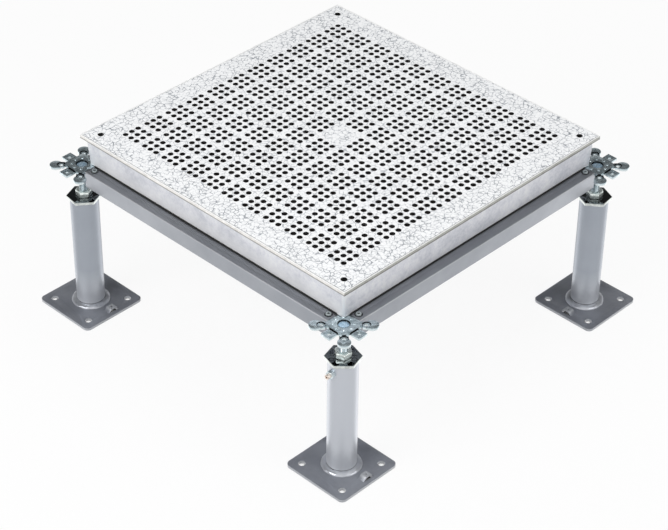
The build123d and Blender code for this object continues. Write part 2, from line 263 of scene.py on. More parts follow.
def from_middle(tree, axes):
    """Distances in plan from the middle of the bay, along X and along Y."""
    return [calc(tree, "ABSOLUTE", axes[axis]) for axis in ("X", "Y")]


def from_corner(tree, axes):
    """Distances in plan from the nearest pedestal's axis, along X and along Y."""
    offsets = [calc(tree, "SUBTRACT", reach, CORNER_PLACE) for reach in from_middle(tree, axes)]
    return [calc(tree, "ABSOLUTE", offset) for offset in offsets]


def reach_from(tree, across, along, place):
    """Distance in plan from a place to a point given by its two distances."""
    flat = put(tree, "ShaderNodeCombineXYZ", {"X": across, "Y": along}).outputs[0]
    gap = put(tree, "ShaderNodeVectorMath", {0: flat, 1: (*place, 0.0)}, operation="DISTANCE")
    return gap.outputs["Value"]


def screw_reach(tree, place):
    """Distance in plan from the axis of the nearest stringer screw."""
    across, along = from_corner(tree, along_axes(tree, place))
    far, near = calc(tree, "MAXIMUM", across, along), calc(tree, "MINIMUM", across, along)
    return reach_from(tree, far, near, (SCREW_PLACE, 0.0))


def noise_at(tree, place, scale, detail=3.0, roughness=0.5):
    """Noise over the object, finer with a larger scale."""
    sizes = {"Vector": place, "Scale": scale, "Detail": detail, "Roughness": roughness}
    return put(tree, "ShaderNodeTexNoise", sizes).outputs["Fac"]


def bumped(tree, shader, height, depth, strength=1.0):
    """Small relief on the surface, its depth in metres."""
    bump = put(tree, "ShaderNodeBump", {"Height": height, "Distance": depth, "Strength": strength})
    link(tree, bump.outputs["Normal"], shader, "Normal")


# Finishes


def cast_aluminium():
    """Die-cast aluminium: pale, bluish and mottled, with painted highlight along the walls' foot and corners,
    painted light towards the foot of the walls facing along X, and painted shade, very dark, round the corner
    holes and under the covering.
    """
    tones = [(0.38, (0.66, 0.68, 0.74)), (0.5, (0.82, 0.83, 0.88)), (0.6, (0.92, 0.93, 0.95))]
    painted_light_metal = (0.97, 0.975, 0.99)
    material, tree, shader, place = new_finish("cast_aluminium", (0.80, 0.82, 0.86), 0.5, metallic=0.2)
    clouds = noise_at(tree, place, scale=26.0, detail=7.0, roughness=0.7)
    grain = noise_at(tree, place, scale=150.0, detail=5.0, roughness=0.75)
    mottle = calc(tree, "ADD", calc(tree, "MULTIPLY", clouds, 0.55), calc(tree, "MULTIPLY", grain, 0.45))
    axes = along_axes(tree, place)
    across, along = from_middle(tree, axes)
    wall_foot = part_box("stringer_gaskets")[1].z
    # Painted highlight: a pale line along the walls' foot and a pale band up the corners
    rim = rise(tree, axes["Z"], wall_foot + 2.6 * MM, wall_foot + 1.4 * MM)
    corner = rise(tree, calc(tree, "MINIMUM", across, along), WALL_CORNER, WALL_CORNER + 2 * MM)
    # Painted light: the walls facing along X turn paler towards their foot
    low = calc(tree, "MULTIPLY", rise(tree, axes["Z"], wall_foot + 28 * MM, wall_foot),
               calc(tree, "GREATER_THAN", across, along))
    edges = calc(tree, "MULTIPLY", calc(tree, "MAXIMUM", rim, corner), 0.7)
    metal = blended(tree, calc(tree, "MAXIMUM", edges, low), ramp(tree, mottle, tones), painted_light_metal)
    # Painted shade: round the corner holes and on its top under the covering, the casting's colour is made
    # very dark
    hole = CORNER_PLACE - CORNER_HOLE_INSET
    bored = calc(tree, "LESS_THAN", reach_from(tree, across, along, (hole, hole)), 1.2 * CORNER_HOLE_RADIUS)
    covered = calc(tree, "GREATER_THAN", axes["Z"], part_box("panel_casting")[1].z - COVERING_GAP)
    black = calc(tree, "MULTIPLY", calc(tree, "MAXIMUM", bored, covered), 0.98)
    link(tree, darkened(tree, metal, black), shader, "Base Color")
    link(tree, grey_ramp(tree, clouds, [(0.35, 0.42), (0.65, 0.6)]), shader, "Roughness")
    bumped(tree, shader, noise_at(tree, place, scale=420.0), depth=0.1 * MM)
    return material


def crackle_laminate():
    """White laminate with a patchy grey crackle, darkest where veins meet and weaker between the holes."""
    white, vein, knot = (0.96, 0.97, 0.98), (0.52, 0.54, 0.57), (0.13, 0.15, 0.18)
    coarse_veins, fine_veins = (128.0, 0.085), (225.0, 0.07)
    material, tree, shader, place = new_finish("crackle_laminate", white, roughness=0.38)
    drift = put(tree, "ShaderNodeTexNoise", {"Vector": place, "Scale": 70.0, "Detail": 3.0}).outputs["Color"]
    moved = put(tree, "ShaderNodeVectorMath", {0: drift, 1: (7 * MM, 7 * MM, 0.0)}, operation="MULTIPLY")
    bent = put(tree, "ShaderNodeVectorMath", {0: place, 1: moved.outputs[0]}, operation="ADD").outputs[0]
    patches = noise_at(tree, place, scale=110.0, roughness=0.6)
    patches = grey_ramp(tree, patches, [(0.4, 0.15), (0.58, 1.0)])
    veins = []
    for scale, width in (coarse_veins, fine_veins):
        cells = {"Vector": bent, "Scale": scale, "Randomness": 1.0}
        edge = put(tree, "ShaderNodeTexVoronoi", cells, feature="DISTANCE_TO_EDGE").outputs["Distance"]
        veins.append(grey_ramp(tree, edge, [(0.0, 1.0), (width, 0.0)]))
    net = calc(tree, "MAXIMUM", veins[0], calc(tree, "MULTIPLY", veins[1], 0.4))
    reach = calc(tree, "MAXIMUM", *from_middle(tree, along_axes(tree, place)))
    perforated = calc(tree, "MULTIPLY", rise(tree, reach, FIELD_HALF, FIELD_HALF - 4 * MM),
                      rise(tree, reach, GROUP_PITCH / 2 - 2 * MM, GROUP_PITCH / 2 + 2 * MM))
    strength = calc(tree, "SUBTRACT", 1.0, calc(tree, "MULTIPLY", perforated, 0.3))
    shown = calc(tree, "MULTIPLY", net, calc(tree, "MULTIPLY", patches, strength))
    link(tree, ramp(tree, shown, [(0.0, white), (0.4, vein), (1.0, knot)]), shader, "Base Color")
    bumped(tree, shader, shown, depth=0.04 * MM, strength=0.5)
    return material


def laminate_core():
    """Dark core of the laminate, seen on the walls of the covering's holes, and painted shade on the walls of
    the deck's holes.
    """
    tones = [(0.3, (0.006, 0.005, 0.005)), (0.7, (0.02, 0.016, 0.014))]
    material, tree, shader, place = new_finish("laminate_core", (0.012, 0.01, 0.009), roughness=0.7)
    shader.inputs["Specular IOR Level"].default_value = 0.2
    link(tree, ramp(tree, noise_at(tree, place, scale=900.0, detail=2.0), tones), shader, "Base Color")
    return material


def strip_plastic():
    """Plastic of the edge strips: cream, painted darker olive grey as shade on the strips at ±Y, with a
    painted shadow along the foot, and a white top.
    """
    cream_tones = [(0.35, (0.72, 0.70, 0.67)), (0.6, (0.88, 0.86, 0.83))]
    shaded_strip_tones = [(0.35, (0.34, 0.34, 0.31)), (0.6, (0.44, 0.44, 0.41))]
    white = (0.9, 0.91, 0.91)
    material, tree, shader, place = new_finish("strip_plastic", (0.74, 0.72, 0.68), roughness=0.45)
    soil = noise_at(tree, place, scale=70.0, detail=4.0, roughness=0.6)
    axes = along_axes(tree, place)
    across, along = from_middle(tree, axes)
    # Painted shade: the strips at ±Y take a darker olive grey, as their shaded side
    shaded_strips = calc(tree, "GREATER_THAN", along, across)
    sides = blended(tree, shaded_strips, ramp(tree, soil, cream_tones), ramp(tree, soil, shaded_strip_tones))
    foot, top = (corner.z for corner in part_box("edge_trim"))
    # Painted shadow: the lowest part of the strips is darkened where they meet the casting
    foot_shadow = rise(tree, axes["Z"], foot + 2.6 * MM, foot + 1.8 * MM)
    sides = darkened(tree, sides, calc(tree, "MULTIPLY", foot_shadow, 0.6))
    wiped = calc(tree, "MULTIPLY", rise(tree, axes["Z"], top - 0.5 * MM, top - 0.1 * MM), 0.8)
    link(tree, blended(tree, wiped, sides, white), shader, "Base Color")
    bumped(tree, shader, noise_at(tree, place, scale=600.0, detail=2.0), depth=0.05 * MM)
    return material


def paint_clouds(tree, place):
    """Faint clouds in a coat of paint."""
    return noise_at(tree, place, scale=18.0, detail=4.0, roughness=0.55)


def orange_peel(tree, shader, place):
    """Fine relief of sprayed paint."""
    bumped(tree, shader, noise_at(tree, place, scale=700.0, detail=2.0), depth=0.03 * MM, strength=0.6)


def metal_paint(name, dark, light, roughness, metallic):
    """Semi-gloss metallic paint with faint clouds and a fine orange peel."""
    material, tree, shader, place = new_finish(name, light, roughness, metallic)
    tones = [(0.35, dark), (0.65, light)]
    link(tree, ramp(tree, paint_clouds(tree, place), tones), shader, "Base Color")
    orange_peel(tree, shader, place)
    return material


def stringer_paint():
    """Silver paint of the stringers, with a painted highlight along the top corners, the top painted darker
    as shade, and a painted shadow round each screw.
    """
    corner_highlight_paint, shine = (0.6, 0.61, 0.62), 0.8
    material = metal_paint("silver_paint", (0.30, 0.315, 0.345), (0.34, 0.355, 0.385), 0.36, shine)
    tree, shader, paint, place = reopened(material)
    # Painted shadow: a dark ring round each screw
    ring = line_at(tree, screw_reach(tree, place), SCREW_RADIUS + 0.5 * MM, SHADE_LINE_WIDTH)
    axes = along_axes(tree, place)
    beside = calc(tree, "MINIMUM", *from_corner(tree, axes))
    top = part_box("front_right_stringer")[1].z
    # Painted highlight: along the top corners the paint is paler and less metallic
    corner = calc(tree, "MULTIPLY", rise(tree, beside, STRINGER_HALF - 1.6 * MM, STRINGER_HALF - 0.6 * MM),
                  rise(tree, axes["Z"], top - 2.4 * MM, top - 1.4 * MM))
    # Painted shade: the top face is darkened
    level = rise(tree, axes["Z"], top - MM, top - 0.2 * MM)
    dark = calc(tree, "MAXIMUM", calc(tree, "MULTIPLY", ring, 0.9), calc(tree, "MULTIPLY", level, 0.28))
    worn = calc(tree, "MULTIPLY", corner, 0.3)
    link(tree, blended(tree, worn, darkened(tree, paint, dark), corner_highlight_paint), shader, "Base Color")
    link(tree, calc(tree, "SUBTRACT", shine, calc(tree, "MULTIPLY", corner, 0.6)), shader, "Metallic")
    return material


def plate_paint():
    """Dark paint of the base plates, with painted highlight on their cut edges and on the lug's crown."""
    plate_highlight_paint = (0.43, 0.445, 0.47)
    material = metal_paint("plate_paint", (0.205, 0.217, 0.247), (0.265, 0.279, 0.312), 0.4, 0.35)
    tree, shader, paint, place = reopened(material)
    height = along_axes(tree, place)["Z"]
    # Painted highlight: the plate's cut edges and the lug's crown are made paler
    edge = rise(tree, height, PLATE_TOP - 0.2 * MM, PLATE_TOP - 0.9 * MM)
    lug = rise(tree, height, PLATE_TOP + 2 * MM, PLATE_TOP + 5 * MM)
    pale = calc(tree, "MULTIPLY", calc(tree, "MAXIMUM", edge, lug), 0.85)
    link(tree, blended(tree, pale, paint, plate_highlight_paint), shader, "Base Color")
    return material


def tube_paint():
    """Silver paint of the tubes, with painted light making the front one lighter and the foot paler and less
    metallic, and painted shade where the weld ends.
    """
    tones = [(0.1, (0.30, 0.325, 0.365)), (0.95, (0.47, 0.49, 0.53))]
    foot_light_paint, shine = (0.56, 0.58, 0.62), 0.85
    material, tree, shader, place = new_finish("tube_paint", (0.36, 0.375, 0.41), 0.36, shine)
    axes = along_axes(tree, place)
    # Painted light: the paint is lighter towards the front pedestal
    painted_front_light = rise(tree, calc(tree, "ADD", axes["X"], axes["Y"]), -CORNER_PLACE / 2, -2 * CORNER_PLACE)
    clouds = calc(tree, "MULTIPLY", paint_clouds(tree, place), 0.3)
    paint = ramp(tree, calc(tree, "ADD", painted_front_light, clouds), tones)
    # Painted light: towards the foot the paint is paler and less metallic
    dull = rise(tree, axes["Z"], 8 * BEAD_TOP, BEAD_TOP)
    link(tree, calc(tree, "SUBTRACT", shine, calc(tree, "MULTIPLY", dull, 0.6)), shader, "Metallic")
    # Painted shade: a dark line on the tube at the top of the weld
    weld_crease_shade = calc(tree, "MULTIPLY", line_at(tree, axes["Z"], BEAD_TOP, SHADE_LINE_WIDTH), 0.75)
    link(tree, darkened(tree, blended(tree, dull, paint, foot_light_paint), weld_crease_shade), shader, "Base Color")
    orange_peel(tree, shader, place)
    return material


def zinc_plate(name, dark, light, smoothest, dullest, metallic, relief=0.06 * MM):
    """Bright zinc plate with worn and dull patches."""
    material, tree, shader, place = new_finish(name, light, dullest, metallic)
    patches = noise_at(tree, place, scale=160.0, detail=4.0, roughness=0.6)
    link(tree, ramp(tree, patches, [(0.36, dark), (0.62, light)]), shader, "Base Color")
    link(tree, grey_ramp(tree, patches, [(0.3, dullest), (0.7, smoothest)]), shader, "Roughness")
    bumped(tree, shader, noise_at(tree, place, scale=500.0), depth=relief, strength=0.6)
    return material


def head_zinc():
    """Zinc plate of the heads, with painted highlight on the cut sides, and painted shade, very dark, along
    the bends and round the recesses on top.
    """
    side_highlight_zinc = (0.64, 0.70, 0.71)
    material = zinc_plate("head_zinc", (0.34, 0.42, 0.45), (0.60, 0.69, 0.73), 0.2, 0.34, metallic=0.85)
    tree, shader, plated, place = reopened(material)
    axes = along_axes(tree, place)
    across, along = from_corner(tree, axes)
    # Painted shade: very dark lines along the bends by the pads and round the rivet's and ears' recesses
    bend = line_at(tree, calc(tree, "MAXIMUM", across, along), GROOVE_PLACE, SHADE_LINE_WIDTH)
    pads = calc(tree, "LESS_THAN", calc(tree, "MINIMUM", across, along), GROOVE_SPAN)
    reach = reach_from(tree, across, along, (0.0, 0.0))
    ear_reach = reach_from(tree, across, along, (CORNER_HOLE_INSET, CORNER_HOLE_INSET))
    rings = calc(tree, "MAXIMUM", line_at(tree, reach, RIVET_RECESS_RADIUS, 0.9 * MM),
                 line_at(tree, ear_reach, EAR_RECESS_RADIUS, SHADE_LINE_WIDTH / 2))
    crevice_shade = calc(tree, "MAXIMUM", calc(tree, "MULTIPLY", bend, pads), rings)
    top = calc(tree, "GREATER_THAN", axes["Z"], PAD_TOP - RIVET_SEAT)
    black = calc(tree, "MULTIPLY", calc(tree, "MULTIPLY", crevice_shade, top), 0.97)
    # Painted highlight: the cut sides are made paler
    side = rise(tree, axes["Z"], PAD_SIDE, PAD_SIDE - MM)
    link(tree, blended(tree, side, darkened(tree, plated, black), side_highlight_zinc), shader, "Base Color")
    return material


def pan_zinc():
    """Zinc plate of the stringer screws, with painted shade in the socket and a painted shadow round the
    head.
    """
    material = zinc_plate("pan_zinc", (0.26, 0.30, 0.31), (0.44, 0.49, 0.50), 0.3, 0.45, metallic=0.4)
    tree, shader, plated, place = reopened(material)
    # Painted shade in the socket, and painted shadow at the head's rim
    reach = screw_reach(tree, place)
    socket = rise(tree, reach, SOCKET_RADIUS, 0.8 * SOCKET_RADIUS)
    rim = rise(tree, reach, 0.88 * SCREW_RADIUS, SCREW_RADIUS)
    dark = calc(tree, "MULTIPLY", calc(tree, "MAXIMUM", socket, rim), 0.85)
    link(tree, darkened(tree, plated, dark), shader, "Base Color")
    return material


def black_foam():
    """Black foam of the gaskets."""
    material, tree, shader, place = new_finish("black_foam", (0.012, 0.012, 0.012), roughness=0.9)
    pores = noise_at(tree, place, scale=1500.0, detail=2.0)
    link(tree, grey_ramp(tree, pores, [(0.35, 0.006), (0.65, 0.02)]), shader, "Base Color")
    return material


def black_oxide():
    """Black oxide on the corner screws."""
    material, tree, shader, place = new_finish("black_oxide", (0.012, 0.012, 0.013), roughness=0.6)
    shader.inputs["Specular IOR Level"].default_value = 0.2
    wear = noise_at(tree, place, scale=800.0)
    link(tree, grey_ramp(tree, wear, [(0.4, 0.006), (0.75, 0.03)]), shader, "Base Color")
    return material


# Zinc: darkest and palest tone, roughness of its smoothest and dullest patches, metal
finishes = {
    "cast_aluminium": cast_aluminium(),
    "laminate": crackle_laminate(),
    "laminate_core": laminate_core(),
    "trim": strip_plastic(),
    "grey_paint": stringer_paint(),
    "tube_paint": tube_paint(),
    "base_paint": plate_paint(),
    "weld": metal_paint("weld_paint", (0.42, 0.44, 0.48), (0.62, 0.64, 0.68), 0.3, 0.6),
    "zinc": zinc_plate("zinc_plate", (0.42, 0.50, 0.54), (0.68, 0.76, 0.79), 0.16, 0.3, 0.7),
    "head_zinc": head_zinc(),
    "nut_zinc": zinc_plate("nut_zinc", (0.62, 0.68, 0.66), (0.88, 0.93, 0.90), 0.16, 0.3, 0.75),
    "pan_zinc": pan_zinc(),
    "warm_zinc": zinc_plate("warm_zinc", (0.62, 0.53, 0.47), (0.90, 0.80, 0.73), 0.2, 0.35, 0.7),
    "rivet_zinc": zinc_plate("rivet_zinc", (0.32, 0.50, 0.66), (0.62, 0.80, 0.94), 0.2, 0.34, 0.6),
    "bright_zinc": zinc_plate("polished_zinc", (0.40, 0.42, 0.41), (0.58, 0.61, 0.59), 0.06, 0.12, 1.0),
    # Painted reflection: a dark copy of the polished zinc for the caps' tops, for the dark surroundings they
    # reflect
    "dark_mirror": zinc_plate(
        "dark_mirror", (0.15, 0.165, 0.17), (0.19, 0.205, 0.21), 0.04, 0.07, 1.0, relief=0.01 * MM),
    "black_screw": black_oxide(),
    "gasket": black_foam(),
}

slot_of_node = {part["node"]: part["material_slot"] for part in frame["record"]["subparts"]}
for node_name, node in nodes.items():
    for material_slot in node.material_slots:
        material_slot.material = finishes[slot_of_node[node_name]]
for corner in CORNERS:
    nodes[f"{corner}_tube"].material_slots[0].material = finishes["tube_paint"]
    nodes[f"{corner}_set_screw"].material_slots[0].material = finishes["warm_zinc"]


# Camera, lamps and studio


def ray_to(azimuth, elevation):
    """Direction from the bay to a place at this azimuth and elevation, in radians."""
    level = math.cos(elevation)
    return Vector((math.sin(azimuth) * level, -math.cos(azimuth) * level, math.sin(elevation)))


def photo_camera():
    """The photograph's camera, aimed at the bay and slightly rolled."""
    back = ray_to(AZIMUTH, ELEVATION)
    level = (-back).cross(Vector((0, 0, 1))).normalized()
    upright = level.cross(-back)
    right = math.cos(ROLL) * level + math.sin(ROLL) * upright
    up = math.cos(ROLL) * upright - math.sin(ROLL) * level
    camera = bpy.data.objects.new("photo_camera", bpy.data.cameras.new("photo_camera"))
    camera.data.lens = LENS
    camera.data.sensor_width = SENSOR_WIDTH
    camera.data.clip_end = FAR_CLIP
    place = Matrix((right, up, back)).transposed().to_4x4()
    place.translation = TARGET + back * DISTANCE
    camera.matrix_world = place
    scene.collection.objects.link(camera)
    scene.camera = camera


def softbox(name, azimuth, elevation, distance, side, power):
    """A square lamp aimed at the bay."""
    data = bpy.data.lights.new(name, "AREA")
    data.energy = power
    data.size = side
    lamp = bpy.data.objects.new(name, data)
    ray = ray_to(math.radians(azimuth), math.radians(elevation))
    lamp.location = ray * distance
    lamp.rotation_euler = ray.to_track_quat("Z", "Y").to_euler()
    scene.collection.objects.link(lamp)


def switched(tree, share, first, second):
    """The first shader, or the second as far as the share goes."""
    return put(tree, "ShaderNodeMixShader", {0: share, 1: first, 2: second}).outputs[0]


def studio_world():
    """White to the camera, soft on lit surfaces; metal sees a bright front, a dark sky and a pale floor."""
    world = bpy.data.worlds.new("studio")
    world.use_nodes = True
    scene.world = world
    tree = world.node_tree
    tree.nodes.clear()
    rays = put(tree, "ShaderNodeLightPath").outputs
    ray = put(tree, "ShaderNodeTexCoord").outputs["Generated"]
    height = along_axes(tree, ray)["Z"]
    front = ray_to(AZIMUTH, 0.0) / 2
    ahead = put(tree, "ShaderNodeVectorMath", {0: ray, 1: front}, operation="DOT_PRODUCT").outputs["Value"]
    facing = calc(tree, "ADD", ahead, 0.5)
    sky = grey_ramp(tree, height, SKY_LEVELS)
    above = blended(tree, rise(tree, facing, *FRONT_SPAN), sky, grey(FRONT_LEVEL))
    shine = {0: grey_ramp(tree, facing, FLOOR_LEVELS), "Scale": FLOOR_SHINE}
    below = put(tree, "ShaderNodeVectorMath", shine, operation="SCALE").outputs[0]
    mirror = blended(tree, calc(tree, "LESS_THAN", height, 0.0), above, below)
    soft, gloss, seen = (
        put(tree, "ShaderNodeBackground", {"Color": colour}).outputs[0]
        for colour in ((*grey(SOFT_LEVEL), 1.0), mirror, (*grey(1.0), 1.0)))
    shown = switched(tree, rays["Is Glossy Ray"], soft, gloss)
    shown = switched(tree, rays["Is Camera Ray"], shown, seen)
    put(tree, "ShaderNodeOutputWorld", {"Surface": shown})


def studio_floor():
    """A wide pale floor, white far off, that keeps a faint shadow of the bay, with painted shade that darkens
    its colour in narrow gaps.
    """
    mesh = bpy.data.meshes.new("studio_floor")
    corners = [(x * FLOOR_REACH, y * FLOOR_REACH, 0) for x, y in ((-1, -1), (1, -1), (1, 1), (-1, 1))]
    mesh.from_pydata(corners, [], [(0, 1, 2, 3)])
    floor = bpy.data.objects.new("studio_floor", mesh)
    scene.collection.objects.link(floor)
    material, tree, shader, place = new_finish("studio_floor", grey(FLOOR_LEVEL), roughness=0.9)
    rays = put(tree, "ShaderNodeLightPath").outputs
    glow = put(tree, "ShaderNodeEmission", {"Color": (*grey(1.0), 1.0)}).outputs[0]
    # Painted shade: where ambient occlusion finds narrow gaps, the floor's colour turns dark
    open_sky = put(tree, "ShaderNodeAmbientOcclusion", {"Distance": CREVICE_DEPTH}, samples=8).outputs["AO"]
    clear_above = rise(tree, open_sky, *CREVICE_SPAN)
    tones = [(0.0, CREVICE_LEVEL), (1.0, FLOOR_LEVEL)]
    link(tree, grey_ramp(tree, clear_above, tones), shader, "Base Color")
    away = put(tree, "ShaderNodeVectorMath", {0: place}, operation="LENGTH").outputs["Value"]
    more = calc(tree, "MULTIPLY", rise(tree, away, *GLOW_SPAN), 1.0 - FLOOR_GLOW)
    white = calc(tree, "MULTIPLY", rays["Is Camera Ray"], calc(tree, "ADD", FLOOR_GLOW, more))
    lit = switched(tree, calc(tree, "MULTIPLY", clear_above, white), shader.outputs[0], glow)
    clear = put(tree, "ShaderNodeBsdfTransparent").outputs[0]
    seen = switched(tree, rays["Is Glossy Ray"], lit, clear)
    tree.links.new(seen, tree.nodes["Material Output"].inputs["Surface"])
    mesh.materials.append(material)


photo_camera()
studio_world()
studio_floor()
for lamp_sizes in LAMPS:
    softbox(*lamp_sizes)


# Meshes grown by Geometry Nodes


def new_tree(name, sizes, finish_names):
    """A Geometry Nodes tree with a number input for each size and a material for each finish."""
    tree = bpy.data.node_groups.new(name, "GeometryNodeTree")
    for size in sizes:
        tree.interface.new_socket(size, in_out="INPUT", socket_type="NodeSocketFloat")
    for finish_name in finish_names:
        tree.interface.new_socket(finish_name, in_out="INPUT", socket_type="NodeSocketMaterial")
    tree.interface.new_socket("Geometry", in_out="OUTPUT", socket_type="NodeSocketGeometry")
    return tree, put(tree, "NodeGroupInput").outputs


def end_tree(tree, geometry, finish):
    """Real geometry with its finish, as the export needs it."""
    real = put(tree, "GeometryNodeRealizeInstances", {"Geometry": geometry}).outputs[0]
    dressed = put(tree, "GeometryNodeSetMaterial", {"Geometry": real, "Material": finish}).outputs[0]
    put(tree, "NodeGroupOutput", {"Geometry": dressed})


def baked(piece):
    """The piece with its modifiers turned into plain mesh."""
    depsgraph = bpy.context.evaluated_depsgraph_get()
    mesh = bpy.data.meshes.new_from_object(piece.evaluated_get(depsgraph), depsgraph=depsgraph)
    piece.modifiers.clear()
    piece.data = mesh
    return piece


def grown(name, tree, **sizes):
    """The plain mesh that a tree makes with these sizes."""
    piece = bpy.data.objects.new(name, bpy.data.meshes.new(name))
    scene.collection.objects.link(piece)
    modifier = piece.modifiers.new("grown", "NODES")
    modifier.node_group = tree
    for socket in tree.interface.items_tree:
        key = socket.name.lower().replace(" ", "_")
        if key in sizes:
            modifier[socket.identifier] = sizes[key]
    return baked(piece)


def circles(tree, points, radius, sides):
    """A circle on each point."""
    ring = put(tree, "GeometryNodeCurvePrimitiveCircle", {"Resolution": sides, "Radius": radius})
    rings = {"Points": points, "Instance": ring.outputs["Curve"]}
    return put(tree, "GeometryNodeInstanceOnPoints", rings).outputs[0]


def group_points(tree, pitch):
    """Middles of the groups of holes, without the blank one in the middle of the panel."""
    span = calc(tree, "MULTIPLY", pitch, GROUPS_PER_SIDE - 1)
    grid = {"Size X": span, "Size Y": span, "Vertices X": GROUPS_PER_SIDE, "Vertices Y": GROUPS_PER_SIDE}
    points = put(tree, "GeometryNodeMeshGrid", grid).outputs["Mesh"]
    place = put(tree, "GeometryNodeInputPosition").outputs[0]
    reach = put(tree, "ShaderNodeVectorMath", {0: place}, operation="LENGTH").outputs["Value"]
    middle = calc(tree, "LESS_THAN", reach, calc(tree, "MULTIPLY", pitch, 0.5))
    return put(tree, "GeometryNodeDeleteGeometry", {"Geometry": points, "Selection": middle}).outputs[0]


def square(tree, side):
    """A square outline."""
    return put(tree, "GeometryNodeCurvePrimitiveQuadrilateral", {"Width": side, "Height": side}).outputs[0]


def filled(tree, outlines):
    """The flat face between closed outlines."""
    curves = put(tree, "GeometryNodeJoinGeometry", {"Geometry": outlines}).outputs[0]
    real = put(tree, "GeometryNodeRealizeInstances", {"Geometry": curves}).outputs[0]
    return put(tree, "GeometryNodeFillCurve", {"Curve": real}).outputs["Mesh"]


def perforated_tiles(tree, sizes, side):
    """A square face with nine round holes for each group."""
    span = calc(tree, "MULTIPLY", sizes["Hole Pitch"], 2.0)
    three_by_three = {"Size X": span, "Size Y": span, "Vertices X": 3, "Vertices Y": 3}
    nine = put(tree, "GeometryNodeMeshGrid", three_by_three).outputs["Mesh"]
    rings = circles(tree, nine, sizes["Hole Radius"], HOLE_SIDES)
    tile = filled(tree, [square(tree, side), rings])
    groups = group_points(tree, sizes["Group Pitch"])
    spread = put(tree, "GeometryNodeInstanceOnPoints", {"Points": groups, "Instance": tile})
    return put(tree, "GeometryNodeRealizeInstances", {"Geometry": spread.outputs[0]}).outputs[0]


def plate_from(tree, face, sizes):
    """A plate raised from a flat face by its thickness, with a finish of its own on the cut edges."""
    raised = put(tree, "GeometryNodeExtrudeMesh", {
        "Mesh": face, "Offset": (0.0, 0.0, 1.0), "Offset Scale": sizes["Thickness"], "Individual": False})
    below = put(tree, "GeometryNodeFlipFaces", {"Mesh": face}).outputs[0]
    shell = put(tree, "GeometryNodeJoinGeometry", {"Geometry": [raised.outputs["Mesh"], below]}).outputs[0]
    closed = put(tree, "GeometryNodeMergeByDistance", {"Geometry": shell, "Distance": MERGE_GAP}).outputs[0]
    lift = put(tree, "ShaderNodeCombineXYZ", {"Z": sizes["Foot"]}).outputs[0]
    placed = put(tree, "GeometryNodeSetPosition", {"Geometry": closed, "Offset": lift}).outputs[0]
    solid = put(tree, "GeometryNodeRealizeInstances", {"Geometry": placed}).outputs[0]
    faced = put(tree, "GeometryNodeSetMaterial", {"Geometry": solid, "Material": sizes["Finish"]}).outputs[0]
    edged = put(tree, "GeometryNodeSetMaterial", {
        "Geometry": faced, "Selection": raised.outputs["Side"], "Material": sizes["Edge Finish"]}).outputs[0]
    put(tree, "NodeGroupOutput", {"Geometry": edged})


def covering_tree():
    """The laminate sheet: perforated tiles, a blank one in the middle, and a border with corner holes."""
    names = (
        "Side", "Thickness", "Foot", "Group Pitch", "Hole Pitch", "Hole Radius",
        "Corner Span", "Corner Radius")
    tree, sizes = new_tree("perforated_covering", names, ("Edge Finish", "Finish"))
    four = put(tree, "GeometryNodeMeshGrid", {
        "Size X": sizes["Corner Span"], "Size Y": sizes["Corner Span"], "Vertices X": 2, "Vertices Y": 2})
    corner_rings = circles(tree, four.outputs["Mesh"], sizes["Corner Radius"], 2 * HOLE_SIDES)
    field = square(tree, calc(tree, "MULTIPLY", sizes["Group Pitch"], GROUPS_PER_SIDE))
    stepped = put(tree, "GeometryNodeResampleCurve", {"Curve": field, "Count": 4 * GROUPS_PER_SIDE})
    border = filled(tree, [square(tree, sizes["Side"]), stepped.outputs[0], corner_rings])
    blank = filled(tree, [square(tree, sizes["Group Pitch"])])
    faces = [perforated_tiles(tree, sizes, sizes["Group Pitch"]), blank, border]
    sheet = put(tree, "GeometryNodeJoinGeometry", {"Geometry": faces}).outputs[0]
    whole = put(tree, "GeometryNodeMergeByDistance", {"Geometry": sheet, "Distance": MERGE_GAP}).outputs[0]
    plate_from(tree, whole, sizes)
    return tree


def deck_tree():
    """The deck's squares with nine round holes, one for each square opening of the CAD deck."""
    names = ("Side", "Thickness", "Foot", "Group Pitch", "Hole Pitch", "Hole Radius")
    tree, sizes = new_tree("perforated_deck", names, ("Edge Finish", "Finish"))
    plate_from(tree, perforated_tiles(tree, sizes, sizes["Side"]), sizes)
    return tree


